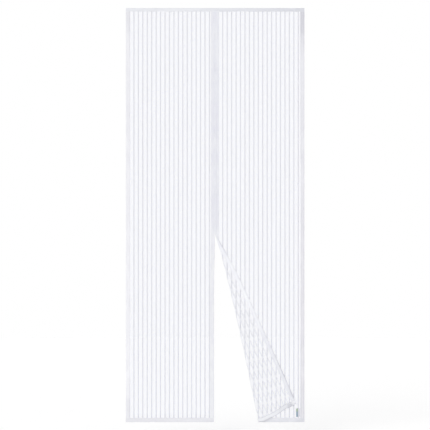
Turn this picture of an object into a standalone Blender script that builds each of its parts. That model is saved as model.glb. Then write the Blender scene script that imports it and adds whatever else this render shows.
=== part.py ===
"""Magnetic insect screen for a doorway, hung by a fixing tape along its top edge.

Two striped net panels are bound in folded tape and sewn into one top binding. Block magnets in
the two closing bindings draw the panels together down the middle. The lower inner corner of the
right panel is folded over to the front, so that the way through stands open.

Metres, +Z up. The front faces -Y and +X is to the right as seen from the front. The origin is
the middle of the top fixing tape's back face.
"""

import math

import bmesh
import bpy
from mathutils import Matrix, Vector

# Overall sizes
WIDTH = 0.906  # over both side bindings
HEIGHT = 2.10  # from the top binding's edge to the hems' edge
SEAM_OFFSET = -0.001  # the line where the panels meet, just left of the middle
CLEARANCE = 0.0003  # between pieces that touch or are sewn together on the real screen

# Net
NET_THICKNESS = 0.0004
STRIPE_THICKNESS = 0.0007
STRIPE_WIDTH = 0.0052
STRIPE_SLOPE = 0.0008  # width of each sloping side of a stripe
STRIPE_PITCH = 0.02253
FIRST_STRIPE_LEFT = 0.0410  # from the left panel's outer edge
FIRST_STRIPE_RIGHT = 0.0395  # from the right panel's inner edge
TUCK = 0.0064  # how far the net reaches into each tape

# Folded tapes
LEAF = 0.00045  # one thickness of tape
TOP_BINDING = 0.018
SIDE_BINDING = 0.022
CLOSING_BINDING = 0.020
HEM = 0.022
FOLD_NOSE = 0.0012  # from a tape's folded edge to where its leaves run flat
NOSE_SHARE = 0.45  # half height of the blunt folded edge, over the tape's half thickness

# Magnets and weights inside the tapes
MAGNET_LENGTH = 0.028
MAGNET_WIDTH = 0.010
MAGNET_THICKNESS = 0.0025
MAGNETS = 13  # in each closing binding
FIRST_MAGNET = 0.058  # centre of the lowest one, above the bottom edge
LAST_MAGNET = 0.146  # centre of the highest one, below the top edge
WEIGHT_LENGTH = 0.025
WEIGHT_WIDTH = 0.010
WEIGHT_THICKNESS = 0.003
WEIGHT_PLACE = 0.033  # its centre, from the panel's inner edge
BLOCK_CHAMFER = 0.0004
POCKET_ROOM = 0.0005  # between a block and the leaves over it
POCKET_SLACK = 0.002  # flat run of a pocket past each end of its block
POCKET_RAMP = 0.006  # length over which the tape comes back together

# Fixing tapes and label
FIXING_WIDTH = 0.016
FIXING_THICKNESS = 0.0008
LABEL_WIDTH = 0.020
LABEL_HEIGHT = 0.042
LABEL_THICKNESS = 0.0004
LABEL_PLACE = 0.027  # its lower edge, above the bottom edge

# Left closing edge, which hangs a little to the left where the panels part
DRAWN_IN = 0.0045
DRAWN_FROM = 1.10  # from the top edge down to where this starts
DRAWN_OVER = 0.34  # height over which it comes about

# Folded corner of the right panel
FOLD_START = 1.151  # from the top edge down to where the panels part
FOLD_INSET = 0.0022  # of that point, to the right of the seam
FOLD_FOOT = 0.2215  # from the seam to where the fold meets the bottom edge
FOLD_BOW = 0.010  # how far the fold bows to the right between its ends
BOW_SKEW = 0.7  # less than 1 puts the bow's crest above the fold's middle
ROLL_TOP = 0.003  # radius of the roll along the fold, at its top
ROLL_MIDDLE = 0.0095
ROLL_FOOT = 0.008
ROLL_SWELL = 3  # the higher, the closer the swelling keeps to the fold's middle
ROLL_DEPTH_SHARE = 0.4  # how much of its growth in width the roll has in depth
ROLL_LEAN = 0.40  # radians that a wide roll turns past half a turn, before it lies back
ROLL_RETURN = 5.0  # radius of that last, opposite bend, over the roll's radius
FLAP_GAP = 0.006  # between the middles of the flap and of the panel behind it
ROLL_STEPS = 9  # facets round the roll
FOLD_ROWS = 15  # facets along it
ROW_SPREAD = 1.5  # more than 1 puts the rows closer together near the top
ROWS_PAST = 0.020  # how far past the fold's foot the rows go

# Places worked out from the sizes
TAPE_HALF = STRIPE_THICKNESS / 2 + CLEARANCE + LEAF
SEAM_GAP = CLEARANCE + TAPE_HALF / 2  # leaves room for the edge where it turns over
NET_Y = -(FIXING_THICKNESS + CLEARANCE + TAPE_HALF)
TOP_Z = TOP_BINDING / 2
BOTTOM_Z = TOP_Z - HEIGHT
LEFT_X = -WIDTH / 2
RIGHT_X = WIDTH / 2
LEFT_CLOSING_X = SEAM_OFFSET - SEAM_GAP / 2
RIGHT_CLOSING_X = SEAM_OFFSET + SEAM_GAP / 2
SIDES_TOP = TOP_Z - TOP_BINDING - CLEARANCE
SIDES_BOTTOM = BOTTOM_Z + HEM + CLEARANCE
FOLD_TOP = Vector((SEAM_OFFSET + FOLD_INSET, TOP_Z - FOLD_START))
FOLD_LINE = Vector((SEAM_OFFSET + FOLD_FOOT, BOTTOM_Z)) - FOLD_TOP
ALONG = FOLD_LINE.normalized()  # down the fold, in X and Z
ACROSS = Vector((ALONG.y, -ALONG.x))  # away from the panel, in X and Z
MERGE = 1e-6  # a cut passes through any corner nearer than this
SHARP_ANGLE = math.radians(30)


def clear_scene():
    for obj in list(bpy.data.objects):
        bpy.data.objects.remove(obj, do_unlink=True)


def make_material(name, colour, roughness, metallic=0.0):
    material = bpy.data.materials.new(name)
    material.use_nodes = True
    shader = material.node_tree.nodes["Principled BSDF"]
    shader.inputs["Base Color"].default_value = (*colour, 1.0)
    shader.inputs["Roughness"].default_value = roughness
    shader.inputs["Metallic"].default_value = metallic
    material.diffuse_color = (*colour, 1.0)
    return material


def add_object(name, shape, material):
    """Turns a bmesh into the named object and gives it the material."""
    bmesh.ops.recalc_face_normals(shape, faces=shape.faces[:])
    mesh = bpy.data.meshes.new(name)
    shape.to_mesh(mesh)
    shape.free()
    mesh.shade_smooth()
    mesh.set_sharp_from_angle(angle=SHARP_ANGLE)
    mesh.materials.append(material)
    obj = bpy.data.objects.new(name, mesh)
    bpy.context.scene.collection.objects.link(obj)
    return obj


# The fold of the right panel's corner

def fold_place(x, z):
    """Distance down the fold and distance past it, of a point of the flat panel."""
    offset = Vector((x, z)) - FOLD_TOP
    return offset.dot(ALONG), offset.dot(ACROSS)


def flat_place(down, past):
    """The point of the flat panel, X and Z, at these distances."""
    return FOLD_TOP + down * ALONG + past * ACROSS


def roll_radius(down):
    share = min(max(down / FOLD_LINE.length, 0.0), 1.0)
    ends = ROLL_TOP + (ROLL_FOOT - ROLL_TOP) * share
    swelling = ROLL_MIDDLE - (ROLL_TOP + ROLL_FOOT) / 2
    return ends + swelling * math.sin(math.pi * share) ** ROLL_SWELL


def roll_flatness(down):
    """Depth of the roll over its width. It is round at its top, where it is tightest."""
    radius = roll_radius(down)
    return (ROLL_TOP + (radius - ROLL_TOP) * ROLL_DEPTH_SHARE) / radius


def roll_start(down):
    """Where the sheet leaves the panel's plane, as a distance past the straight fold line."""
    share = min(max(down / FOLD_LINE.length, 0.0), 1.0)
    return -FOLD_BOW * math.sin(math.pi * share**BOW_SKEW) - roll_radius(down)


def roll_lean(down):
    """How far past half a turn the roll goes. Where it is tightest it stops at half a turn."""
    return ROLL_LEAN * (1 - ROLL_TOP / roll_radius(down))


def edge_run(down):
    """Length of sheet from the roll's start to the panel's closing edge."""
    edge = (FOLD_TOP.x - RIGHT_CLOSING_X + down * ALONG.x) / -ACROSS.x
    return edge - roll_start(down)


def roll_bends(down):
    """Lengths along the sheet where its roll ends, its slope ends and it lies flat again, and
    the length past which the closing binding keeps the sheet straight."""
    radius = roll_radius(down)
    lean = roll_lean(down)
    roll = radius * (math.pi + lean)
    drop = radius * (1 + math.cos(lean)) - FLAP_GAP / roll_flatness(down)
    drop -= ROLL_RETURN * radius * (1 - math.cos(lean))
    slope = roll + max(drop, 0.0) / max(math.sin(lean), MERGE)
    flat = slope + ROLL_RETURN * radius * lean
    stiff = max(roll, edge_run(down) - CLOSING_BINDING)
    return roll, slope, flat, stiff


def roll_path(run, down):
    """Step past the roll's start, step forward and turn of the sheet after this much of it. The
    path is that of a round roll, flattened from front to back."""
    roll, slope, flat, stiff = roll_bends(down)
    radius = roll_radius(down)
    rest = max(run - stiff, 0.0)
    run -= rest
    turn = min(run, roll) / radius
    past = radius * math.sin(turn)
    forward = radius * (1 - math.cos(turn))
    straight = min(max(run - roll, 0.0), slope - roll)
    past += straight * math.cos(turn)
    forward += straight * math.sin(turn)
    back = min(max(run - slope, 0.0), flat - slope)
    wide = ROLL_RETURN * radius
    past += wide * (math.sin(turn) - math.sin(turn - back / wide))
    forward += wide * (math.cos(turn - back / wide) - math.cos(turn))
    turn -= back / wide
    rest += max(run - flat, 0.0)
    past += rest * math.cos(turn)
    forward += rest * math.sin(turn)
    flatness = roll_flatness(down)
    return past, forward * flatness, math.atan2(math.sin(turn) * flatness, math.cos(turn))


def folded(point):
    """Where a point of the flat right panel lies once its corner is folded over."""
    down, past = fold_place(point.x, point.z)
    start = roll_start(down)
    if past <= start:
        return point.copy()
    depth = NET_Y - point.y
    step, forward, turn = roll_path(past - start, down)
    place = flat_place(down, start + step - depth * math.sin(turn))
    return Vector((place.x, NET_Y - forward - depth * math.cos(turn), place.y))


def cut(shape, faces, start, end):
    """Cuts the faces along the line between two points of the flat panel."""
    parts = [part for face in faces for part in (face, *face.edges, *face.verts)]
    bmesh.ops.bisect_plane(
        shape,
        geom=list(dict.fromkeys(parts)),
        dist=MERGE,
        plane_co=(start.x, 0, start.y),
        plane_no=(end.y - start.y, 0, start.x - end.x),
    )


def fold_corner(shape):
    """Cuts a flat piece of the right panel along the fold's bends, then folds it."""
    steps = [index / FOLD_ROWS for index in range(FOLD_ROWS + 1)]
    first = (roll_start(0) * -ACROSS.x + RIGHT_CLOSING_X - FOLD_TOP.x) / ALONG.x
    last = FOLD_LINE.length + ROWS_PAST
    rows = [first + (last - first) * step**ROW_SPREAD for step in steps]
    limit = min(roll_start(down) for down in rows) - CLEARANCE
    mark = shape.faces.layers.int.new("row")
    cut(shape, shape.faces[:], flat_place(first, limit), flat_place(last, limit))
    for face in shape.faces:
        nearest = min(fold_place(corner.co.x, corner.co.z)[1] for corner in face.verts)
        face[mark] = nearest > limit - MERGE
    for down in rows:
        cut(
            shape,
            [face for face in shape.faces if face[mark]],
            flat_place(down, 0),
            flat_place(down, 1),
        )
    for face in shape.faces:
        if face[mark]:
            centre = face.calc_center_median()
            down = fold_place(centre.x, centre.z)[0]
            face[mark] += sum(down > row for row in rows)
    for number, (above, below) in enumerate(zip(rows, rows[1:]), 2):  # 1 lies above them all
        for start, end in zip(bend_lines(above), bend_lines(below)):
            strip = [face for face in shape.faces if face[mark] == number]
            cut(shape, strip, flat_place(above, start), flat_place(below, end))
    bmesh.ops.triangulate(shape, faces=shape.faces[:])
    for vertex in shape.verts:
        vertex.co = folded(vertex.co)


def bend_lines(down):
    """Distances past the fold line at which the sheet is cut, so that its facets follow it."""
    roll, slope, flat, stiff = roll_bends(down)
    runs = [roll * step / ROLL_STEPS for step in range(ROLL_STEPS + 1)]
    runs += [min(stiff, bend) for bend in (slope, (slope + flat) / 2, flat)]
    runs.append(stiff)
    return [roll_start(down) + run for run in runs]


# Net panels

def stripe_places(first, last):
    """Centres of the stripes, from the first to as many as stay clear of the last tape."""
    count = int((last - STRIPE_WIDTH / 2 - first) / STRIPE_PITCH) + 1
    return [first + index * STRIPE_PITCH for index in range(count)]


def net_stations(start, end, stripes):
    """Places across the net with its half thickness there."""
    stations = [(start, NET_THICKNESS / 2)]
    for centre in stripes:
        foot = STRIPE_WIDTH / 2
        crest = foot - STRIPE_SLOPE
        stations += [
            (centre - foot, NET_THICKNESS / 2),
            (centre - crest, STRIPE_THICKNESS / 2),
            (centre + crest, STRIPE_THICKNESS / 2),
            (centre + foot, NET_THICKNESS / 2),
        ]
    return stations + [(end, NET_THICKNESS / 2)]


def net_panel(start, end, stripes):
    """One net panel, flat, its upper and lower edges tucked into their tapes."""
    shape = bmesh.new()
    top = TOP_Z - TOP_BINDING + TUCK
    bottom = BOTTOM_Z + HEM - TUCK
    rings = [
        [
            shape.verts.new((x, NET_Y - half, top)),
            shape.verts.new((x, NET_Y - half, bottom)),
            shape.verts.new((x, NET_Y + half, bottom)),
            shape.verts.new((x, NET_Y + half, top)),
        ]
        for x, half in net_stations(start, end, stripes)
    ]
    bridge_rings(shape, rings)
    shape.faces.new(rings[0])
    shape.faces.new(rings[-1])
    return shape


def bridge_rings(shape, rings):
    """Joins each ring of corners to the next with four-sided faces."""
    for ring, following in zip(rings, rings[1:]):
        for index, corner in enumerate(ring):
            shape.faces.new((corner, ring[index - 1], following[index - 1], following[index]))


# Folded tapes

def tape_section(width, half, pocket):
    """Outer and inner corners of a folded tape, from its front lip round its fold to its back
    lip, as distances in from the folded edge and to the front."""
    outer = [
        (width, TAPE_HALF),
        (FOLD_NOSE + pocket + CLEARANCE, half),
        (FOLD_NOSE, half),
        (0.0, half * NOSE_SHARE),
    ]
    inner = [(inward, height - LEAF) for inward, height in outer[:3]]
    inner.append((LEAF, (half - LEAF) * NOSE_SHARE))
    outer += [(inward, -height) for inward, height in reversed(outer)]
    inner += [(inward, -height) for inward, height in reversed(inner)]
    return outer, inner


def tape_rows(start, end, centres, block_length, half):
    """Places along a tape with its half thickness there: it swells over each block."""
    rows = [(start, TAPE_HALF)]
    for centre in centres:
        flat = block_length / 2 + POCKET_SLACK
        rows += [
            (centre - flat - POCKET_RAMP, TAPE_HALF),
            (centre - flat, half),
            (centre + flat, half),
            (centre + flat + POCKET_RAMP, TAPE_HALF),
        ]
    return rows + [(end, TAPE_HALF)]


def folded_tape(width, rows, pocket, place):
    """A tape folded over an edge of the net. place puts a distance along, a distance in from
    the folded edge and a distance to the front at their point in space."""
    shape = bmesh.new()
    rings = []
    for along, half in rows:
        outer, inner = tape_section(width, half, pocket)
        corners = outer + inner[::-1]
        rings.append([shape.verts.new(place(along, *corner)) for corner in corners])
    bridge_rings(shape, rings)
    for ring in (rings[0], rings[-1]):
        lips = len(ring) // 2
        for index in range(lips - 1):
            outside = ring[index], ring[index + 1]
            inside = ring[-2 - index], ring[-1 - index]
            shape.faces.new((*outside, *inside))
    return shape


def upright_place(edge, inward):
    """Places a tape on an upright edge, whose X at a height edge gives. inward is 1 where the net
    lies to its right."""
    return lambda along, within, front: (edge(along) + inward * within, NET_Y - front, along)


def left_closing_edge(height):
    """X of the left panel's closing edge."""
    share = min(max((TOP_Z - DRAWN_FROM - height) / DRAWN_OVER, 0.0), 1.0)
    return LEFT_CLOSING_X - DRAWN_IN * share**2 * (3 - 2 * share)


def level_place(edge, inward):
    """Places a tape on a level edge. inward is 1 where the net lies above it."""
    return lambda along, within, front: (along, NET_Y - front, edge + inward * within)


# Magnets and weights

def block_half(thickness):
    """Half thickness of a tape over a block of this thickness."""
    return thickness / 2 + POCKET_ROOM + LEAF


def magnet_heights():
    """Heights of the magnets' centres. Where the closing edge turns over there is none."""
    highest = TOP_Z - LAST_MAGNET
    lowest = BOTTOM_Z + FIRST_MAGNET
    pitch = (highest - lowest) / (MAGNETS - 1)
    heights = [lowest + index * pitch for index in range(MAGNETS)]
    return [height for height in heights if lies_straight(height)]


def lies_straight(height):
    """Whether the closing edge is clear of its roll all along a magnet at this height."""
    reach = MAGNET_LENGTH / 2 + POCKET_SLACK
    lower = fold_place(RIGHT_CLOSING_X, height - reach - POCKET_RAMP)[0]
    upper = fold_place(RIGHT_CLOSING_X, height + reach)[0]
    needed = roll_bends(upper)[0] + FOLD_NOSE + MAGNET_WIDTH
    return edge_run(lower) < 0 or edge_run(upper) > needed


def block(length, width, thickness):
    """A block with chamfered long edges, its length upright, its thickness along Y."""
    shape = bmesh.new()
    size = Matrix.Diagonal((width, thickness, length, 1.0))
    bmesh.ops.create_cube(shape, size=1.0, matrix=size)
    upright = [edge for edge in shape.edges if abs(edge.verts[0].co.z - edge.verts[1].co.z) > MERGE]
    bmesh.ops.bevel(shape, geom=upright, offset=BLOCK_CHAMFER, segments=1, affect="EDGES")
    return shape


def folded_frame(centre, length_axis, length, width):
    """Place and turn of a stiff block that the folded corner carries, laid through the folded
    places of its ends and sides."""
    across = length_axis.cross(Vector((0, 1, 0)))
    ends = [folded(centre + length_axis * length * side / 2) for side in (1, -1)]
    sides = [folded(centre + across * width * side / 2) for side in (1, -1)]
    upward = (ends[0] - ends[1]).normalized()
    front = upward.cross(sides[0] - sides[1]).normalized()
    turn = Matrix((front.cross(upward), front, upward)).transposed().to_4x4()
    return Matrix.Translation((ends[0] + ends[1]) / 2) @ turn


def place_block(obj, centre, length_axis, folded_size):
    """Puts a block in its pocket. folded_size is its length and width, if the fold carries it."""
    if folded_size:
        obj.matrix_world = folded_frame(centre, length_axis, *folded_size)
        return
    obj.location = centre
    if length_axis.x:
        obj.rotation_euler.y = math.pi / 2


# Fixing tapes and label

def flat_strip(left, right, bottom, top, back, thickness):
    """A flat rectangular strip whose back face lies at Y = back."""
    shape = bmesh.new()
    size = Matrix.Diagonal((right - left, thickness, top - bottom, 1.0))
    middle = Matrix.Translation(((left + right) / 2, back - thickness / 2, (top + bottom) / 2))
    bmesh.ops.create_cube(shape, size=1.0, matrix=middle @ size)
    return shape


# The pieces

def add_nets(material):
    left_start = LEFT_X + SIDE_BINDING - TUCK
    left_end = left_closing_edge(BOTTOM_Z) - FOLD_NOSE - MAGNET_WIDTH - CLEARANCE
    stripes = stripe_places(LEFT_X + FIRST_STRIPE_LEFT, LEFT_CLOSING_X - CLOSING_BINDING)
    add_object("net_left", net_panel(left_start, left_end, stripes), material)
    right_start = RIGHT_CLOSING_X + CLOSING_BINDING - TUCK
    right_end = RIGHT_X - SIDE_BINDING + TUCK
    stripes = stripe_places(SEAM_OFFSET + FIRST_STRIPE_RIGHT, RIGHT_X - SIDE_BINDING)
    shape = net_panel(right_start, right_end, stripes)
    fold_corner(shape)
    add_object("net_right", shape, material)


def add_plain_tapes(material):
    top = folded_tape(
        TOP_BINDING, tape_rows(LEFT_X, RIGHT_X, [], 0, 0), 0, level_place(TOP_Z, -1)
    )
    add_object("top_binding", top, material)
    for name, edge, inward in (("left", LEFT_X, 1), ("right", RIGHT_X, -1)):
        rows = tape_rows(SIDES_BOTTOM, SIDES_TOP, [], 0, 0)
        side = folded_tape(
            SIDE_BINDING, rows, 0, upright_place(lambda height: edge, inward)
        )
        add_object(f"side_binding_{name}", side, material)


def add_closing_tapes(material, magnet_material):
    heights = magnet_heights()
    half = block_half(MAGNET_THICKNESS)
    rows = tape_rows(SIDES_BOTTOM, SIDES_TOP, heights, MAGNET_LENGTH, half)
    places = {
        "left": upright_place(left_closing_edge, -1),
        "right": upright_place(lambda height: RIGHT_CLOSING_X, 1),
    }
    for name, place in places.items():
        shape = folded_tape(CLOSING_BINDING, rows, MAGNET_WIDTH, place)
        if name == "right":
            fold_corner(shape)
        add_object(f"closing_binding_{name}", shape, material)
        for number, height in enumerate(reversed(heights), 1):
            magnet = add_object(
                f"closing_magnet_{name}_{number:02d}",
                block(MAGNET_LENGTH, MAGNET_WIDTH, MAGNET_THICKNESS),
                magnet_material,
            )
            centre = Vector(place(height, FOLD_NOSE + MAGNET_WIDTH / 2, 0.0))
            size = (MAGNET_LENGTH, MAGNET_WIDTH) if name == "right" else None
            place_block(magnet, centre, Vector((0, 0, 1)), size)


def add_hems(material, weight_material):
    half = block_half(WEIGHT_THICKNESS)
    place = level_place(BOTTOM_Z, 1)
    left_end = left_closing_edge(BOTTOM_Z)
    ends = {
        "left": (LEFT_X, left_end, left_end - WEIGHT_PLACE),
        "right": (RIGHT_CLOSING_X, RIGHT_X, RIGHT_CLOSING_X + WEIGHT_PLACE),
    }
    for name, (start, end, weight_x) in ends.items():
        rows = tape_rows(start, end, [weight_x], WEIGHT_LENGTH, half)
        shape = folded_tape(HEM, rows, WEIGHT_WIDTH, place)
        if name == "right":
            fold_corner(shape)
        add_object(f"hem_{name}", shape, material)
        weight = add_object(
            f"hem_weight_{name}",
            block(WEIGHT_LENGTH, WEIGHT_WIDTH, WEIGHT_THICKNESS),
            weight_material,
        )
        centre = Vector(place(weight_x, FOLD_NOSE + WEIGHT_WIDTH / 2, 0.0))
        size = (WEIGHT_LENGTH, WEIGHT_WIDTH) if name == "right" else None
        place_block(weight, centre, Vector((1, 0, 0)), size)


def add_fixing_tapes(material):
    reach = FIXING_WIDTH / 2
    margin = (SIDE_BINDING - FIXING_WIDTH) / 2
    top = flat_strip(LEFT_X + margin, RIGHT_X - margin, -reach, reach, 0.0, FIXING_THICKNESS)
    add_object("fixing_tape_top", top, material)
    for name, side in (("left", -1), ("right", 1)):
        middle = side * (WIDTH / 2 - SIDE_BINDING / 2)
        ends = BOTTOM_Z + margin, -reach - CLEARANCE
        shape = flat_strip(middle - reach, middle + reach, *ends, 0.0, FIXING_THICKNESS)
        add_object(f"fixing_tape_{name}", shape, material)


def add_label(material):
    right = RIGHT_X - SIDE_BINDING - CLEARANCE
    bottom = BOTTOM_Z + LABEL_PLACE
    back = NET_Y - STRIPE_THICKNESS / 2 - CLEARANCE
    ends = bottom, bottom + LABEL_HEIGHT
    shape = flat_strip(right - LABEL_WIDTH, right, *ends, back, LABEL_THICKNESS)
    add_object("side_label", shape, material)


def main():
    clear_scene()
    net = make_material("striped_net", (0.84, 0.85, 0.88), 0.8)
    tape = make_material("woven_tape", (0.72, 0.72, 0.77), 0.75)
    magnet = make_material("magnet_ferrite", (0.09, 0.09, 0.10), 0.55)
    weight = make_material("weight_steel", (0.22, 0.22, 0.24), 0.45, 1.0)
    loops = make_material("loop_tape", (0.86, 0.86, 0.87), 0.95)
    label = make_material("label_satin", (0.10, 0.14, 0.20), 0.5)
    add_nets(net)
    add_plain_tapes(tape)
    add_closing_tapes(tape, magnet)
    add_hems(tape, weight)
    add_fixing_tapes(loops)
    add_label(label)


main()
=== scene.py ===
"""The looks of a magnetic insect screen for a doorway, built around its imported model.

Two striped net panels in a border of folded tape hang from loop tape. Magnets in the two inner
tapes draw the panels together, and the lower inner corner of the right panel is folded over to
the front. Metres, +Z up, the front faces -Y.
"""

import math

import bmesh
import bpy
import numpy as np
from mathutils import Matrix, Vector


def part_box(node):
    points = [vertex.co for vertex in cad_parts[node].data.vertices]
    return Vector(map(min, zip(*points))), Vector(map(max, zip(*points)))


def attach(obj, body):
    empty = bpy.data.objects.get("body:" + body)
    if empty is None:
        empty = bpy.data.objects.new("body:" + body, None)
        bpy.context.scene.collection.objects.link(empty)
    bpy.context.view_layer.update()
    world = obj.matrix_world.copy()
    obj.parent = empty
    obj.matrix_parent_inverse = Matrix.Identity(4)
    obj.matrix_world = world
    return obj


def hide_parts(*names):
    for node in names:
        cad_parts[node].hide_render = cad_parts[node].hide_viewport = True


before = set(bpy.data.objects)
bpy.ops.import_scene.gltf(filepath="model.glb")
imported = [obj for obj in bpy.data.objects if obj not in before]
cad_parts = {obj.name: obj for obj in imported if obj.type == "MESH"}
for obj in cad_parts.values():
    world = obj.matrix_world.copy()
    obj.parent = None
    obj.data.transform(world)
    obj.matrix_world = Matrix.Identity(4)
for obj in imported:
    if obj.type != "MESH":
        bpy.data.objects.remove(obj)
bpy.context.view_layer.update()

# Studio
# White all round and a plain pale floor, which the screen hangs just clear of, as it does in a
# doorway. The camera stands far back, level with the middle of the screen.
FLOOR_Z = -2.16
FLOOR_REACH = 8.0
FLOOR_TONE = 0.9
CAMERA_PLACE = Vector((-0.0008, -10.0, -1.0407))
SEEN_WIDTH = 2.1814  # at the net, from side to side of the picture
SKY_LEVEL = 0.56  # light from all round, where 1 is white
FLOOR_GLOW = 0.215  # lifts the floor to white for the camera alone
WHITE = (1.0, 1.0, 1.0, 1.0)


def add_node(tree, kind, *inputs, **settings):
    """Adds a node, sets it up, and feeds its inputs in order with values or other sockets."""
    node = tree.nodes.new(kind)
    for name, value in settings.items():
        setattr(node, name, value)
    for socket, value in zip(node.inputs, inputs):
        if isinstance(value, bpy.types.NodeSocket):
            tree.links.new(value, socket)
        elif value is not None:
            socket.default_value = value
    return node


def math_node(tree, operation, *values, **settings):
    """What one operation makes of values or sockets."""
    return add_node(tree, "ShaderNodeMath", *values, operation=operation, **settings).outputs[0]


def rescaled(tree, value, low, high, first=0.0, last=1.0):
    """A number that goes from first to last while the value goes from low to high."""
    return add_node(tree, "ShaderNodeMapRange", value, low, high, first, last).outputs[0]


def seen_directly(tree):
    """1 for rays that show the studio to the camera, straight or through a shiny surface."""
    path = add_node(tree, "ShaderNodeLightPath").outputs
    shiny = math_node(tree, "MAXIMUM", path["Is Glossy Ray"], path["Is Transmission Ray"])
    return math_node(tree, "MAXIMUM", path["Is Camera Ray"], shiny)


camera = bpy.data.objects.new("camera", bpy.data.cameras.new("camera"))
bpy.context.scene.collection.objects.link(camera)
camera.location = CAMERA_PLACE
camera.rotation_euler = (math.pi / 2, 0.0, 0.0)
camera.data.lens = camera.data.sensor_width * -CAMERA_PLACE.y / SEEN_WIDTH
camera.data.clip_end = 100.0
bpy.context.scene.camera = camera
bpy.context.scene.view_settings.view_transform = "Standard"

world = bpy.data.worlds.new("white_studio")
world.use_nodes = True
sky_tree = world.node_tree
sky_tree.nodes.clear()
sky_strength = rescaled(sky_tree, seen_directly(sky_tree), 0.0, 1.0, SKY_LEVEL, 1.0)
sky = add_node(sky_tree, "ShaderNodeBackground", WHITE, sky_strength)
add_node(sky_tree, "ShaderNodeOutputWorld", sky.outputs[0])
bpy.context.scene.world = world

floor_paint = bpy.data.materials.new("pale_floor")
floor_paint.use_nodes = True
floor_tree = floor_paint.node_tree
floor_tree.nodes.clear()
paint = add_node(floor_tree, "ShaderNodeBsdfDiffuse", (FLOOR_TONE, FLOOR_TONE, FLOOR_TONE, 1.0))
glow_strength = math_node(floor_tree, "MULTIPLY", seen_directly(floor_tree), FLOOR_GLOW)
glow = add_node(floor_tree, "ShaderNodeEmission", WHITE, glow_strength)
both = add_node(floor_tree, "ShaderNodeAddShader", paint.outputs[0], glow.outputs[0])
add_node(floor_tree, "ShaderNodeOutputMaterial", both.outputs[0])
floor_mesh = bpy.data.meshes.new("floor")
floor_mesh.from_pydata(
    [(x * FLOOR_REACH, y * FLOOR_REACH, FLOOR_Z) for x, y in ((-1, -1), (1, -1), (1, 1), (-1, 1))],
    [], [(0, 1, 2, 3)],
)
floor_mesh.materials.append(floor_paint)
floor = bpy.data.objects.new("floor", floor_mesh)
bpy.context.scene.collection.objects.link(floor)

for lamp_name, place, strength, spread in (
    ("key_lamp", (-3.0, -4.4, 3.2), 1.05, 45.0),
    ("fill_lamp", (3.6, -4.6, 1.4), 0.45, 60.0),
    ("back_lamp", (1.5, 4.8, 2.4), 0.80, 60.0),
):
    lamp = bpy.data.objects.new(lamp_name, bpy.data.lights.new(lamp_name, "SUN"))
    bpy.context.scene.collection.objects.link(lamp)
    lamp.location = place
    lamp.rotation_euler = (-Vector(place)).to_track_quat("-Z", "Y").to_euler()
    lamp.data.energy = strength
    lamp.data.angle = math.radians(spread)

# Net panels
# Two widths of white polyester net, knitted with small holes and with a closer knitted stripe
# every 22.5 mm. Each is cut to the panel and its edges are sewn into the folded tapes.
WIDTH = 0.906
HEIGHT = 2.10
SEAM_X = -0.001
NET_Y = -0.0022
TAPE_HALF = 0.0011  # half thickness of a folded tape with the net in it
TOP_BINDING = 0.018
SIDE_BINDING = 0.022
CLOSING_BINDING = 0.020
HEM = 0.022
CLEARANCE = 0.0003
TOP_Z = TOP_BINDING / 2
BOTTOM_Z = TOP_Z - HEIGHT
SEAM_GAP = CLEARANCE + TAPE_HALF / 2
LEFT_EDGE, RIGHT_EDGE = -WIDTH / 2, WIDTH / 2
LEFT_CLOSING_X = SEAM_X - SEAM_GAP / 2
RIGHT_CLOSING_X = SEAM_X + SEAM_GAP / 2
DRAWN_IN = 0.0045  # how far the left closing edge hangs to the left where the panels part
DRAWN_FROM = 1.10  # from the top edge down to where this starts
DRAWN_OVER = 0.34  # height over which it comes about
TUCK = 0.0064  # how far the net reaches into each tape
MAGNET_REACH = 0.0115  # from a closing edge to just past its magnets
STRIPE_PITCH = 0.02253
STRIPE_WIDTH = 0.0052
STRIPE_THICKNESS = 0.0007
STRIPES = 18  # in each panel
FIRST_STRIPE_LEFT = LEFT_EDGE + 0.0410
FIRST_STRIPE_RIGHT = SEAM_X + 0.0395
HOLE_PITCH = 0.0015
KNIT_THREAD = 0.00036  # thickness of a thread of the net
TURNED_THREAD = 0.00024  # and where the folded corner is drawn out
THREAD_SWINGS = 1.15  # half waves of a thread in one pitch of its height
KNIT_RELIEF = 0.0002
NET_YARN = (226, 230, 251)  # as it looks in plain light
FLAP_YARN_PAINTED_LIGHT = (252, 252, 255)  # painted light: a paler yarn on the folded corner, to offset the shade that its two layers cast on each other
LOOP_PITCH = 0.0011  # of the chains of loops in a stripe
LOOP_SLANT = 1.6
LOOP_SWELL = 0.35  # beside the depth of the groove between two chains
LOOP_RELIEF = 0.00025
STRIPE_YARN_AND_GROOVE_SHADE = (219, 219, 226), (236, 237, 243)  # painted shade in the grooves, and the yarn on the loops
# Painted light: a paler stripe on the folded corner, to offset the shade of its two layers.
FLAP_STRIPE_PAINTED_LIGHT = (242, 243, 248)
RIB_SIDES = 10
BILLOW = 0.0035  # how far the net stands out of its plane in soft waves
BILLOW_WAVES = (0.6, 0.031, 0.9, 0.0), (0.4, 0.017, -2.3, 1.0)  # size, pace, lean and start
BILLOW_HOLD = 0.7, 0.6  # how soon they rise from a net's sides, and from its ends
BILLOW_FADE = 0.09  # distance over which they die out towards the folded corner

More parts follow.
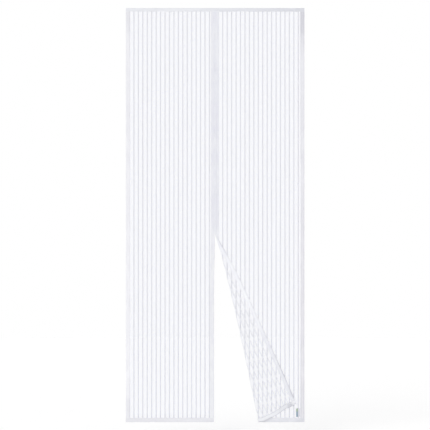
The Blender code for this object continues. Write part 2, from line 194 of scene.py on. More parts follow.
# The right panel's corner is folded along a line that runs from the seam down to the bottom edge.
FOLD_TOP = (SEAM_X + 0.0022, TOP_Z - 1.151)
FOLD_FOOT = (SEAM_X + 0.2215, BOTTOM_Z)
FOLD_LENGTH = math.dist(FOLD_TOP, FOLD_FOOT)
FOLD_BOW = 0.010  # how far the fold bows to the right between its ends
BOW_SKEW = 0.7  # less than 1 puts the bow's crest above the fold's middle
ROLL_TOP, ROLL_MIDDLE, ROLL_FOOT = 0.003, 0.0095, 0.008  # radius of the roll along the fold
ROLL_SWELL = 3  # the higher, the closer the swelling keeps to the fold's middle
ROLL_DEPTH_SHARE = 0.4  # how much of its growth in width the roll has in depth
ROLL_LEAN = 0.40  # radians that a wide roll turns past half a turn, before it lies back
ROLL_RETURN = 5.0  # radius of that last, opposite bend, over the roll's radius
FLAP_GAP = 0.006  # between the middles of the flap and of the panel behind it
HEM_SAG = 0.0105  # how far the folded part of the bottom hem sags between its ends
SAG_FROM, SAG_FULL, SAG_EASES, SAG_TO = 0.045, 0.12, 0.175, 0.215  # X in the flat panel
SAG_LOW, SAG_HIGH = 0.02, 0.28  # above the bottom edge, where it starts to fade and is gone
ALONG = ((FOLD_FOOT[0] - FOLD_TOP[0]) / FOLD_LENGTH, (FOLD_FOOT[1] - FOLD_TOP[1]) / FOLD_LENGTH)
ACROSS = (ALONG[1], -ALONG[0])


def ramp(value, start, end):
    """Rises smoothly from 0 at start to 1 at end."""
    share = np.clip((value - start) / (end - start), 0.0, 1.0)
    return share * share * (3 - 2 * share)


def fold_shape(down):
    """Radius, flatness and start of the roll, and where along the cloth each of its bends ends,
    at distances down the fold line."""
    share = np.clip(down / FOLD_LENGTH, 0.0, 1.0)
    swelling = ROLL_MIDDLE - (ROLL_TOP + ROLL_FOOT) / 2
    radius = ROLL_TOP + (ROLL_FOOT - ROLL_TOP) * share
    radius = radius + swelling * np.sin(math.pi * share) ** ROLL_SWELL
    flatness = (ROLL_TOP + (radius - ROLL_TOP) * ROLL_DEPTH_SHARE) / radius
    start = -FOLD_BOW * np.sin(math.pi * share**BOW_SKEW) - radius
    lean = ROLL_LEAN * (1 - ROLL_TOP / radius)
    roll = radius * (math.pi + lean)
    drop = radius * (1 + np.cos(lean)) - FLAP_GAP / flatness
    drop = drop - ROLL_RETURN * radius * (1 - np.cos(lean))
    slope = roll + np.maximum(drop, 0.0) / np.maximum(np.sin(lean), 1e-6)
    flat = slope + ROLL_RETURN * radius * lean
    edge = (FOLD_TOP[0] - RIGHT_CLOSING_X + down * ALONG[0]) / -ACROSS[0] - start
    stiff = np.maximum(roll, edge - CLOSING_BINDING)
    return radius, flatness, start, roll, slope, flat, stiff


def fold_place(x, z):
    """Distances down the fold line and past it of places in the flat right panel."""
    x, z = x - FOLD_TOP[0], z - FOLD_TOP[1]
    return x * ALONG[0] + z * ALONG[1], x * ACROSS[0] + z * ACROSS[1]


def turned_over(x, z):
    """How far these places of the flat right panel are turned over, from 0 to 1 on the flap."""
    down, past = fold_place(x, z)
    shape = fold_shape(down)
    return np.clip((past - shape[2]) / shape[3], 0.0, 1.0)


def lay_corner(points):
    """Takes points of the flat right panel to where its folded corner carries them."""
    points = np.asarray(points, float)
    down, past = fold_place(points[:, 0], points[:, 2])
    radius, flatness, start, roll, slope, flat, stiff = fold_shape(down)
    rest = np.maximum(past - start - stiff, 0.0)
    run = np.maximum(past - start, 0.0) - rest
    turn = np.minimum(run, roll) / radius
    step, forward = radius * np.sin(turn), radius * (1 - np.cos(turn))
    straight = np.clip(run - roll, 0.0, slope - roll)
    step, forward = step + straight * np.cos(turn), forward + straight * np.sin(turn)
    wide = ROLL_RETURN * radius
    back = turn - np.clip(run - slope, 0.0, flat - slope) / wide
    step = step + wide * (np.sin(turn) - np.sin(back))
    forward = forward + wide * (np.cos(back) - np.cos(turn))
    rest = rest + np.maximum(run - flat, 0.0)
    step, forward = step + rest * np.cos(back), (forward + rest * np.sin(back)) * flatness
    back = np.arctan2(np.sin(back) * flatness, np.cos(back))
    depth = NET_Y - points[:, 1]
    past_laid = start + step - depth * np.sin(back)
    laid = np.stack([
        FOLD_TOP[0] + down * ALONG[0] + past_laid * ACROSS[0],
        NET_Y - forward - depth * np.cos(back),
        FOLD_TOP[1] + down * ALONG[1] + past_laid * ACROSS[1],
    ], axis=1)
    sag = HEM_SAG * ramp(points[:, 0], SAG_FROM, SAG_FULL)
    sag = sag * ramp(-points[:, 0], -SAG_TO, -SAG_EASES)
    laid[:, 2] -= sag * (1 - ramp(points[:, 2], BOTTOM_Z + SAG_LOW, BOTTOM_Z + SAG_HIGH))
    return np.where((past > start)[:, None], laid, points)


def fold_x(z, bend):
    """X in the flat panel, at these heights, of one of the corner's bends: the roll's start at 0
    or, at 1, where the flap lies flat again."""
    x = np.full_like(z, FOLD_TOP[0])
    for _ in range(8):  # each round comes closer to it
        shape = fold_shape(fold_place(x, z)[0])
        past = shape[2] + bend * np.minimum(shape[5], shape[6])
        x = FOLD_TOP[0] + (past - (z - FOLD_TOP[1]) * ACROSS[1]) / ACROSS[0]
    return x


def billow(x, z, inner, outer):
    """Soft upright waves of a hanging net, none at its tapes and none near the folded corner."""
    across = np.clip((x - inner) / (outer - inner), 0.0, 1.0)
    hung = np.clip((TOP_Z - z) / HEIGHT, 0, 1)
    hold = np.sin(math.pi * across) ** BILLOW_HOLD[0] * np.sin(math.pi * hung) ** BILLOW_HOLD[1]
    wave = sum(
        size * np.sin(x / pace + lean * z + start) for size, pace, lean, start in BILLOW_WAVES
    )
    if outer > 0:
        down, past = fold_place(x, z)
        hold = hold * np.clip((fold_shape(down)[2] - past) / BILLOW_FADE, 0.0, 1.0)
    return BILLOW * hold * wave


def as_seen(red, green, blue):
    """The colour that looks like this one, given in parts of 255, as shaders take it."""
    parts = [part / 255 for part in (red, green, blue)]
    return (*[((part + 0.055) / 1.055) ** 2.4 for part in parts], 1.0)


def add_piece(name, points, faces, cloth, material):
    """A finished piece from its points and faces, with the cloth's flat measures as its UV map."""
    mesh = bpy.data.meshes.new(name)
    mesh.from_pydata(np.asarray(points).tolist(), [], [list(map(int, face)) for face in faces])
    corners = np.zeros(len(mesh.loops), dtype=np.int32)
    mesh.loops.foreach_get("vertex_index", corners)
    mesh.uv_layers.new(name="cloth").data.foreach_set("uv", np.asarray(cloth)[corners].ravel())
    mesh.shade_smooth()
    mesh.materials.append(material)
    piece = bpy.data.objects.new(name, mesh)
    bpy.context.scene.collection.objects.link(piece)
    return piece


def grid_faces(rows, columns):
    """Four-sided faces of a grid of points kept row by row from the top, fronts to -Y."""
    first = (np.arange(rows - 1)[:, None] * columns + np.arange(columns - 1)).ravel()
    return np.stack([first, first + columns, first + columns + 1, first + 1], axis=1)


def tube_faces(rows, columns):
    """Faces of a tube whose points come row by row round its section, with both ends closed."""
    ring = np.arange(columns)
    first = (np.arange(rows - 1)[:, None] * columns + ring).ravel()
    after = (np.arange(rows - 1)[:, None] * columns + np.roll(ring, -1)).ravel()
    sides = np.stack([first, after, after + columns, first + columns], axis=1)
    return [*sides.tolist(), ring[::-1].tolist(), (ring + (rows - 1) * columns).tolist()]


def mark(piece, name, values):
    """Gives a piece a number at each of its points, for its material."""
    piece.data.attributes.new(name, "FLOAT", "POINT").data.foreach_set("value", values.ravel())


def close_up(piece):
    """Merges points less than a thousandth of a millimetre apart and turns the faces outwards."""
    shape = bmesh.new()
    shape.from_mesh(piece.data)
    bmesh.ops.remove_doubles(shape, verts=shape.verts, dist=1e-6)
    bmesh.ops.dissolve_degenerate(shape, edges=shape.edges, dist=1e-7)
    bmesh.ops.recalc_face_normals(shape, faces=shape.faces)
    shape.to_mesh(piece.data)
    shape.free()


def new_group(name, kind, inputs, outputs):
    """A node group with these sockets, and what its input node gives out."""
    group = bpy.data.node_groups.new(name, kind)
    for socket, data in inputs:
        group.interface.new_socket(name=socket, in_out="INPUT", socket_type="NodeSocket" + data)
    for socket, data in outputs:
        group.interface.new_socket(name=socket, in_out="OUTPUT", socket_type="NodeSocket" + data)
    return group, group.nodes.new("NodeGroupInput").outputs


def in_pitches(group, inputs):
    """The cloth's flat measures, counted in pitches of its knit or weave."""
    counted = add_node(
        group, "ShaderNodeVectorMath", inputs["Cloth"], inputs["Pitch"], operation="DIVIDE"
    )
    return add_node(group, "ShaderNodeSeparateXYZ", counted.outputs[0]).outputs


def cloth_map(tree):
    """The cloth's own flat measures, in metres."""
    return add_node(tree, "ShaderNodeUVMap", uv_map="cloth").outputs[0]


def carried(tree, name):
    """The number that a piece carries at its points under this name."""
    return add_node(tree, "ShaderNodeAttribute", attribute_name=name).outputs["Fac"]


def mixed(tree, share, first, last, blend="MIX"):
    """A colour that goes by this share from one to another, each a colour or a socket."""
    unused = [None] * 5  # its inputs for numbers and vectors
    return add_node(
        tree, "ShaderNodeMix", share, *unused, first, last, data_type="RGBA", blend_type=blend
    ).outputs[2]


def painted_light_on_flap(tree, colour, turned):
    """A colour, or a socket that gives one, that changes to a paler one where the cloth is turned:
    painted light on the folded corner.
    """
    return mixed(tree, carried(tree, "turned"), colour, turned)


def relief(tree, height, strength, depth):
    """The normals of a surface whose height changes by up to this depth."""
    return add_node(tree, "ShaderNodeBump", strength, depth, None, height).outputs[0]


def new_material(name):
    """A new material and its node tree, with nothing set yet."""
    material = bpy.data.materials.new(name)
    material.use_nodes = True
    return material, material.node_tree


def set_finish(tree, finish):
    """Sets the inputs of a material's shader, by their names, to values or sockets."""
    shader = tree.nodes["Principled BSDF"]
    for name, value in finish.items():
        if isinstance(value, bpy.types.NodeSocket):
            tree.links.new(value, shader.inputs[name])
        else:
            shader.inputs[name].default_value = value


# The knit of the net: wavy threads side by side, which meet and part again in turn.
net_knit, knit_in = new_group(
    "net_knit", "ShaderNodeTree",
    [("Cloth", "Vector"), ("Pitch", "Float"), ("Thread", "Float")],
    [("Thread", "Float"), ("Height", "Float")],
)
knit_at = in_pitches(net_knit, knit_in)
thread_number = math_node(net_knit, "FLOOR", knit_at["X"])
odd = math_node(net_knit, "FLOORED_MODULO", thread_number, 2.0)
turn_about = math_node(net_knit, "MULTIPLY", odd, math.pi)
along_thread = math_node(
    net_knit, "MULTIPLY_ADD", knit_at["Y"], math.pi * THREAD_SWINGS, turn_about
)
swing = math_node(net_knit, "COSINE", along_thread)
middle = math_node(net_knit, "MULTIPLY_ADD", swing, 0.5, 0.5)
within = math_node(net_knit, "FRACT", knit_at["X"])
away = math_node(net_knit, "ABSOLUTE", math_node(net_knit, "SUBTRACT", within, middle))
half_thread = math_node(net_knit, "MULTIPLY", knit_in["Thread"], 0.5)
on_thread = math_node(net_knit, "LESS_THAN", away, half_thread)
rounded = math_node(net_knit, "POWER", math_node(net_knit, "DIVIDE", away, half_thread), 2.0)
rounded = math_node(net_knit, "SUBTRACT", 1.0, rounded, use_clamp=True)
add_node(net_knit, "NodeGroupOutput", on_thread, rounded)

net_material, net_tree = new_material("knitted_net")
net_thread = rescaled(
    net_tree, carried(net_tree, "turned"), 0.0, 1.0, KNIT_THREAD / HOLE_PITCH,
    TURNED_THREAD / HOLE_PITCH,
)
net_holes = add_node(
    net_tree, "ShaderNodeGroup", cloth_map(net_tree), HOLE_PITCH, net_thread, node_tree=net_knit
).outputs
set_finish(net_tree, {
    # Painted light: paler yarn on the folded corner.
    "Base Color": painted_light_on_flap(net_tree, as_seen(*NET_YARN), as_seen(*FLAP_YARN_PAINTED_LIGHT)),
    "Roughness": 0.75,
    "Specular IOR Level": 0.2,
    "Alpha": net_holes["Thread"],
    "Normal": relief(net_tree, net_holes["Height"], 0.6, KNIT_RELIEF),
})

# The knit of a stripe: upright chains of loops, each a row of small V shapes.
chain_knit, chain_in = new_group(
    "chain_knit", "ShaderNodeTree", [("Cloth", "Vector"), ("Pitch", "Float")], [("Height", "Float")]
)
chain_at = in_pitches(chain_knit, chain_in)
arm = math_node(chain_knit, "PINGPONG", chain_at["X"], 0.5)
loop_at = math_node(chain_knit, "MULTIPLY_ADD", arm, LOOP_SLANT, chain_at["Y"])
loop_at = math_node(chain_knit, "MULTIPLY", loop_at, 2 * math.pi)
loop_height = math_node(chain_knit, "SINE", loop_at)
groove = math_node(chain_knit, "MULTIPLY", arm, 2.0)
chain_height = math_node(chain_knit, "MULTIPLY_ADD", loop_height, LOOP_SWELL, groove)
add_node(chain_knit, "NodeGroupOutput", chain_height)

stripe_material, stripe_tree = new_material("knitted_stripe")
stripe_loops = add_node(
    stripe_tree, "ShaderNodeGroup", cloth_map(stripe_tree), LOOP_PITCH, node_tree=chain_knit
).outputs[0]
# Painted shade: the stripe is darker down in the grooves between its chains of loops.
stripe_colour_and_groove_shade = mixed(stripe_tree, stripe_loops, *[as_seen(*yarn) for yarn in STRIPE_YARN_AND_GROOVE_SHADE])
set_finish(stripe_tree, {
    # Painted light: paler stripes on the folded corner.
    "Base Color": painted_light_on_flap(stripe_tree, stripe_colour_and_groove_shade, as_seen(*FLAP_STRIPE_PAINTED_LIGHT)),
    "Roughness": 0.75,
    "Specular IOR Level": 0.2,
    "Normal": relief(stripe_tree, stripe_loops, 0.7, LOOP_RELIEF),
})

# A stripe is a low rib in the knit. The tree draws one along each line that it is given.
stripe_ribs, rib_in = new_group(
    "stripe_ribs", "GeometryNodeTree",
    [("Lines", "Geometry"), ("Width", "Float"), ("Thickness", "Float"), ("Step", "Float"),
     ("Material", "Material")],
    [("Ribs", "Geometry")],
)
rib_line = add_node(stripe_ribs, "GeometryNodeMeshToCurve", rib_in["Lines"]).outputs[0]
rib_line = add_node(
    stripe_ribs, "GeometryNodeResampleCurve", rib_line, None, None, rib_in["Step"], mode="LENGTH"
).outputs[0]
rib_round = add_node(stripe_ribs, "GeometryNodeCurvePrimitiveCircle", RIB_SIDES)
rib_round.inputs["Radius"].default_value = 0.5
rib_size = add_node(
    stripe_ribs, "ShaderNodeCombineXYZ", rib_in["Width"], rib_in["Thickness"], 1.0
).outputs[0]
rib_section = add_node(
    stripe_ribs, "GeometryNodeTransform", rib_round.outputs[0], None, None, rib_size
).outputs[0]
ribs = add_node(stripe_ribs, "GeometryNodeCurveToMesh", rib_line, rib_section)
ribs.inputs["Fill Caps"].default_value = True
ribs = add_node(stripe_ribs, "GeometryNodeRealizeInstances", ribs.outputs[0]).outputs[0]
ribs = add_node(stripe_ribs, "GeometryNodeSetMaterial", ribs, None, rib_in["Material"]).outputs[0]
add_node(stripe_ribs, "NodeGroupOutput", ribs)


def grown(lines, edges, tree, **sizes):
    """Points and faces that a geometry tree makes from these lines."""
    mesh = bpy.data.meshes.new(tree.name)
    mesh.from_pydata(np.asarray(lines).tolist(), np.asarray(edges).tolist(), [])
    seed = bpy.data.objects.new(tree.name, mesh)
    bpy.context.scene.collection.objects.link(seed)
    modifier = seed.modifiers.new(tree.name, "NODES")
    modifier.node_group = tree
    for socket in tree.interface.items_tree:
        if socket.in_out == "INPUT" and socket.name in sizes:
            modifier[socket.identifier] = sizes[socket.name]
    bpy.context.view_layer.update()
    made = seed.evaluated_get(bpy.context.evaluated_depsgraph_get())
    result = bpy.data.meshes.new_from_object(made)
    points = np.zeros(len(result.vertices) * 3)
    result.vertices.foreach_get("co", points)
    faces = [list(face.vertices) for face in result.polygons]
    bpy.data.objects.remove(seed, do_unlink=True)
    bpy.data.meshes.remove(result)
    return points.reshape(-1, 3), faces


def add_net(side, inner, outer, first_stripe, columns, heights, laid, rib_step):
    """A panel's net and its stripes. inner and outer are the net's edges in the flat panel, and
    columns gives the X of its columns of points at a height."""
    z = np.repeat(heights, len(columns(heights[0])))
    x = np.concatenate([columns(height) for height in heights])
    y = NET_Y + billow(x, z, inner, outer)
    points = np.stack([x, y, z], axis=1)
    faces = grid_faces(len(heights), len(z) // len(heights))
    net = add_piece(f"net_{side}_knit", laid(points), faces, points[:, [0, 2]], net_material)
    if laid is lay_corner:
        mark(net, "turned", turned_over(x, z))
    close_up(net)
    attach(net, "root")
    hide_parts(f"net_{side}")

    stripe_x = first_stripe + STRIPE_PITCH * np.arange(STRIPES)
    lines = np.array([(at, NET_Y, end) for at in stripe_x for end in (heights[0], heights[-1])])
    points, faces = grown(
        lines, np.arange(2 * STRIPES).reshape(-1, 2), stripe_ribs, Width=STRIPE_WIDTH,
        Thickness=STRIPE_THICKNESS, Step=rib_step, Material=stripe_material,
    )
    cloth = points[:, [0, 2]].copy()
    points[:, 1] += billow(points[:, 0], points[:, 2], inner, outer)
    stripes = add_piece(f"net_{side}_stripes", laid(points), faces, cloth, stripe_material)
    if laid is lay_corner:
        mark(stripes, "turned", turned_over(*cloth.T))
    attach(stripes, "root")
    return net, stripes


NET_TOP = TOP_Z - TOP_BINDING + TUCK
NET_BOTTOM = BOTTOM_Z + HEM - TUCK
LEFT_OUTER = LEFT_EDGE + SIDE_BINDING - TUCK
LEFT_INNER = LEFT_CLOSING_X - DRAWN_IN - MAGNET_REACH
RIGHT_INNER = RIGHT_CLOSING_X + CLOSING_BINDING - TUCK
RIGHT_OUTER = RIGHT_EDGE - SIDE_BINDING + TUCK
LEFT_ROWS, LEFT_COLUMNS = 105, 61  # of points in the left net
FLAP_COLUMNS, ROLL_COLUMNS, FLAT_COLUMNS = 17, 33, 41  # and in the right one
UPPER_ROWS, CORNER_ROWS = 54, 164
CORNER_FROM = -1.10  # height below which its rows stand close together


def right_columns(height):
    """Columns of the right net at a height: even over the flat panel, close together round the
    roll, and even again over the flap."""
    z = np.array([height])
    roll = np.clip(fold_x(z, 0)[0], RIGHT_INNER, RIGHT_OUTER)
    flap = np.clip(fold_x(z, 1)[0], RIGHT_INNER, RIGHT_OUTER)
    return np.concatenate([
        np.linspace(RIGHT_INNER, flap, FLAP_COLUMNS), np.linspace(flap, roll, ROLL_COLUMNS)[1:],
        np.linspace(roll, RIGHT_OUTER, FLAT_COLUMNS)[1:],
    ])


right_rows = np.concatenate([
    np.linspace(NET_TOP, CORNER_FROM, UPPER_ROWS)[:-1],
    np.linspace(CORNER_FROM, NET_BOTTOM, CORNER_ROWS),
])
net_left, stripes_left = add_net(
    "left", LEFT_OUTER, LEFT_INNER, FIRST_STRIPE_LEFT,
    lambda height: np.linspace(LEFT_OUTER, LEFT_INNER, LEFT_COLUMNS),
    np.linspace(NET_TOP, NET_BOTTOM, LEFT_ROWS), lambda points: points, rib_step=0.024,
)
net_right, stripes_right = add_net(
    "right", RIGHT_INNER, RIGHT_OUTER, FIRST_STRIPE_RIGHT, right_columns, right_rows, lay_corner,
    rib_step=0.0055,
)

# Bindings, closing tapes and hems
# White woven polyester tape, folded over the edges of the nets and sewn down. The closing tapes
# hold the magnets and the hems a weight each, in pockets that stand out a little.
LEAF = 0.00045  # one thickness of tape
STITCH_INSET = 0.0022  # from a tape's lips to its row of stitches
SEAM_SPREAD, SEAM_SINK = 0.0011, 0.24  # half width of that row's dip, and its share of the tape
LIP, LIP_THINNING = 0.0012, 0.15  # the pressed lips, and how much thinner they are
LIP_STEPS = np.array([0.0, 0.0006, 0.0014, STITCH_INSET, 0.0032])  # columns of points beside them
LIP_END = 0.0046
FOLD_ROUND = 0.0016  # width over which the folded edge rounds off
FOLD_STEPS = FOLD_ROUND * np.array([0.6, 0.3, 0.1, 0.0])  # columns of points there
MAGNET_LENGTH, MAGNET_WIDTH = 0.028, 0.010
MAGNET_HALF = 0.0022  # half thickness of a closing tape over a magnet
MAGNET_INSET = 0.0012  # from the folded edge to a magnet or weight
MAGNET_HEIGHTS = np.linspace(BOTTOM_Z + 0.058, TOP_Z - 0.146, 13)
WEIGHT_LENGTH, WEIGHT_WIDTH = 0.025, 0.010
WEIGHT_HALF = 0.00245
WEIGHT_PLACE = 0.033  # from the panel's inner edge
WEIGHT_PULL = 0.0035  # how far a weight draws down the folded part of its hem
POCKET_OPEN, POCKET_SHUT = 0.001, 0.010  # past a block's end: where its pocket narrows, and ends
POCKET_SLOPE = 0.0035  # and the distance over which it closes beside the block
LEFT_FOOT_X = LEFT_CLOSING_X - DRAWN_IN
MEETING = 0.00036  # how far each closing tape reaches past its edge, to meet the other
JOIN = 0.00006  # between the ends of upright tapes and the tapes above and below them
PUCKER = 0.00030  # how far sewing has drawn a tape out of line
PUCKER_LENGTHS = (0.021, 0.034, 0.055)
WANDER = 0.00022  # and how far its edge wanders
WANDER_LENGTHS = (0.043, 0.071, 0.19)
TOP_SEED, SIDE_SEEDS, CLOSING_SEEDS, HEM_SEEDS = 11, (23, 37), (41, 53), (61, 71)
FURROW_SEED, FURROW_LENGTHS = 38, (0.11, 0.19, 0.31)
WEAVE_PITCH = 0.0007
WEAVE_RELIEF = 0.0002
PATCH_SCALE = (42.0, 11.0, 1.0)  # dull patches in a metre, across a tape and along it
PATCH_DETAIL, PATCH_ROUGHNESS = 3.0, 0.55
PATCH_RANGE = 0.35, 0.65
PATCH_TONE = (0.945, 0.945, 0.955)
# Painted light: a paler tape where it is turned over on the folded corner.
FLAP_TAPE_PAINTED_LIGHT = (250, 251, 254)
# Painted shade: a tape's tone is multiplied towards this colour where it carries painted shade.
PAINTED_SHADE_TONE = (0.70, 0.70, 0.73)
SHADE_LINE_SPREAD = 0.0018  # half width of a line of painted shade

# The weave of a tape: plain, with a slight upright rib.
tape_weave, weave_in = new_group(
    "tape_weave", "ShaderNodeTree", [("Cloth", "Vector"), ("Pitch", "Float")],
    [("Height", "Float"), ("Tone", "Float")],
)
weave_at = in_pitches(tape_weave, weave_in)
warp, weft = [
    math_node(tape_weave, "SINE", math_node(tape_weave, "MULTIPLY", weave_at[axis], math.pi))
    for axis in ("X", "Y")
]
crossing = math_node(tape_weave, "MULTIPLY", warp, weft)
weave_height = math_node(tape_weave, "MULTIPLY_ADD", crossing, 0.5, 0.5)
patch_at = add_node(
    tape_weave, "ShaderNodeMapping", weave_in["Cloth"], None, None, PATCH_SCALE
).outputs[0]
patches = add_node(
    tape_weave, "ShaderNodeTexNoise", patch_at, None, 1.0, PATCH_DETAIL, PATCH_ROUGHNESS
).outputs[0]
patches = rescaled(tape_weave, patches, *PATCH_RANGE)
add_node(tape_weave, "NodeGroupOutput", weave_height, patches)


def tape_cloth(name, first, last, start, end, patch=PATCH_TONE):
    """Tape whose tone changes from its first to its last colour between two places along it, as
    painted light and shade, with duller patches, painted shade where a piece carries it, and a
    paler tone where it is turned over, as painted light."""
    material, tree = new_material(name)
    weave = add_node(
        tree, "ShaderNodeGroup", cloth_map(tree), WEAVE_PITCH, node_tree=tape_weave
    ).outputs
    along = add_node(tree, "ShaderNodeSeparateXYZ", cloth_map(tree)).outputs["Y"]
    tone = mixed(tree, rescaled(tree, along, start, end), as_seen(*first), as_seen(*last))
    # Painted light on the folded corner.
    tone = painted_light_on_flap(tree, tone, as_seen(*FLAP_TAPE_PAINTED_LIGHT))
    tone = mixed(tree, weave["Tone"], tone, (*patch, 1.0), "MULTIPLY")
    # Painted shade, darker where the piece carries more of it.
    tone = mixed(tree, carried(tree, "painted_shade"), tone, (*PAINTED_SHADE_TONE, 1.0), "MULTIPLY")
    set_finish(tree, {
        "Base Color": tone,
        "Roughness": 0.7,
        "Specular IOR Level": 0.25,
        "Normal": relief(tree, weave["Height"], 0.5, WEAVE_RELIEF),
    })
    return material


def waver(along, seed, lengths):
    """A smooth uneven wave along a tape, between about -1 and 1."""
    chance = np.random.default_rng(seed)
    waves = [
        np.sin(2 * math.pi * along / length + chance.uniform(0, 2 * math.pi)) for length in lengths
    ]
    return sum(waves) / len(waves)


def tape_pockets(along, centres, length):
    """1 over each block along a tape and 0 between them."""
    if not len(centres):
        return np.zeros_like(along)
    off = np.min(np.abs(along[:, None] - np.asarray(centres)), axis=1)
    return 1 - ramp(off, length / 2 + POCKET_OPEN, length / 2 + POCKET_SHUT)


def tape_drift(along, seed, pockets, pull):
    """How far sewing has drawn the tape forward, and how far in from its edge it has moved, which
    a weight pulls the other way."""
    forward = PUCKER * waver(along, seed, PUCKER_LENGTHS) * (1 - pockets)
    return forward, WANDER * waver(along, seed + 1, WANDER_LENGTHS) - pull * pockets


def tape_half(inward, width, pockets, block_half, block_reach):
    """Half thickness of a tape at distances in from its folded edge, for each place along it."""
    swell = (block_half - TAPE_HALF) * (1 - ramp(inward, block_reach, block_reach + POCKET_SLOPE))
    half = TAPE_HALF + pockets[:, None] * swell
    half = half * np.sqrt(1 - (1 - np.clip(inward / FOLD_ROUND, 0.0, 1.0)) ** 2)
    seam = np.exp(-(((inward - width + STITCH_INSET) / SEAM_SPREAD) ** 2))
    return half * (1 - SEAM_SINK * seam) * (1 - LIP_THINNING * ramp(inward, width - LIP, width))


def add_tape(name, width, along, place, material, seed, node, painted_shade, on_corner=False,
             centres=(), length=0.0, block_reach=0.0, block_half=TAPE_HALF, pull=0.0):
    """A folded tape. place puts places along it, distances in from its folded edge and heights in
    front of its middle at their points, which come row by row, and a function of a place along it
    and in from its edge gives how dark the painted shade is there."""
    pockets = tape_pockets(along, centres, length)
    forward, aside = tape_drift(along, seed, pockets, pull)
    across = np.concatenate([
        width - LIP_STEPS, np.linspace(width - LIP_END, FOLD_ROUND, 9), FOLD_STEPS,
    ])
    half = tape_half(across, width, pockets, block_half, block_reach + pull)
    within = np.array([width, width * 0.55, FOLD_ROUND, 2 * LEAF])
    lining = tape_half(within, width, pockets, block_half, block_reach + pull) - LEAF
    inward = np.concatenate([across, across[-2::-1], within, within[::-1]])
    front = np.concatenate([half, -half[:, -2::-1], -lining, lining[:, ::-1]], axis=1)
    rows, columns = front.shape
    flat = place(
        np.repeat(along, columns), (inward[None, :] + aside[:, None]).ravel(),
        (front + forward[:, None]).ravel(),
    )
    sides = np.sign(np.concatenate([half[0], -half[0, -2::-1], -lining[0], lining[0]]))
    cloth = np.stack([np.tile(-sides * inward, rows), np.repeat(along, columns)], axis=1)
    laid = lay_corner(flat) if on_corner else flat
    tape = add_piece(name, laid, tube_faces(rows, columns), cloth, material)
    tape.data.set_sharp_from_angle(angle=math.radians(50))
    if on_corner:
        mark(tape, "turned", turned_over(flat[:, 0], flat[:, 2]))
    # How dark the painted shade is at each point.
    painted_shades = np.clip(painted_shade(along[:, None], inward[None, :]), 0.0, 1.0)
    mark(tape, "painted_shade", np.broadcast_to(painted_shades, (rows, columns)))
    close_up(tape)
    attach(tape, "root")
    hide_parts(node)
    return tape


def upright(edge, inward_x, drawn_in=0.0):
    """Places a tape on an upright edge of a panel, which may hang to the left below the split."""
    def placed(along, inward, front):
        drawn = drawn_in * ramp(TOP_Z - DRAWN_FROM - along, 0.0, DRAWN_OVER)
        return np.stack([edge - drawn + inward_x * inward, NET_Y - front, along], axis=1)
    return placed


def level(edge, inward_z):
    """Places a tape on a level edge of a panel."""
    return lambda along, inward, front: np.stack(
        [along, NET_Y - front, edge + inward_z * inward], axis=1
    )


def line(inward, place, spread=SHADE_LINE_SPREAD):
    """1 on a line at this place across a tape or along it, fading out on both its sides."""
    return np.exp(-(((inward - place) / spread) ** 2))


# The change of tone along each tape is painted light and shade: the top binding darkens towards its
# right end, the hem a little too, and the seam tape darkens above the split.
left_tape = tape_cloth("left_tape", (247, 247, 251), (243, 243, 247), -1.5, -0.5)
right_tape = tape_cloth("right_tape", (246, 245, 249), (249, 249, 253), -1.5, -0.5)
top_tape = tape_cloth("top_tape", (243, 244, 248), (229, 230, 236), -0.15, 0.42)
hem_tape = tape_cloth("hem_tape", (239, 239, 243), (236, 237, 242), -0.2, 0.4)
seam_tape = tape_cloth(
    "seam_tape", (243, 244, 247), (238, 239, 244), -1.25, -1.05, patch=(0.94, 0.935, 0.965)
)
left_meeting = upright(LEFT_CLOSING_X + MEETING, -1, DRAWN_IN)
right_meeting = upright(RIGHT_CLOSING_X - MEETING, 1)
heights = np.linspace(BOTTOM_Z + HEM + JOIN, TOP_Z - TOP_BINDING - JOIN, 430)
magnets = dict(
    centres=MAGNET_HEIGHTS, length=MAGNET_LENGTH, block_reach=MAGNET_INSET + MAGNET_WIDTH,
    block_half=MAGNET_HALF,
)
weights = dict(
    length=WEIGHT_LENGTH, block_reach=MAGNET_INSET + WEIGHT_WIDTH, block_half=WEIGHT_HALF
)
left_weight = dict(centres=[LEFT_FOOT_X - WEIGHT_PLACE], **weights)
right_weight = dict(centres=[RIGHT_CLOSING_X + WEIGHT_PLACE], pull=WEIGHT_PULL, **weights)


def top_painted_shade(along, inward):
    """Painted shade: dull but for its lips, and duller at its folded edge."""
    return 0.17 * (1 - ramp(inward, 0.0135, 0.0165)) + 0.1 * line(inward, 0.0)


top_binding = add_tape(
    "top_binding_tape", TOP_BINDING, np.linspace(LEFT_EDGE, RIGHT_EDGE, 190), level(TOP_Z, -1),
    top_tape, TOP_SEED, "top_binding", top_painted_shade,
)


def left_border_painted_shade(along, inward):
    """Painted shade, deeper at both ends, most of all at its lips."""
    top_end, foot = ramp(along, -0.13, -0.10), ramp(-along, 1.95, 1.99)
    near_top, near_foot = ramp(along, -0.28, -0.22), ramp(-along, 1.86, 1.90)
    lips = (0.07 + 0.20 * near_top + 0.25 * near_foot) * line(inward, 0.0185, 0.003)
    return 0.15 * top_end + 0.25 * foot + lips


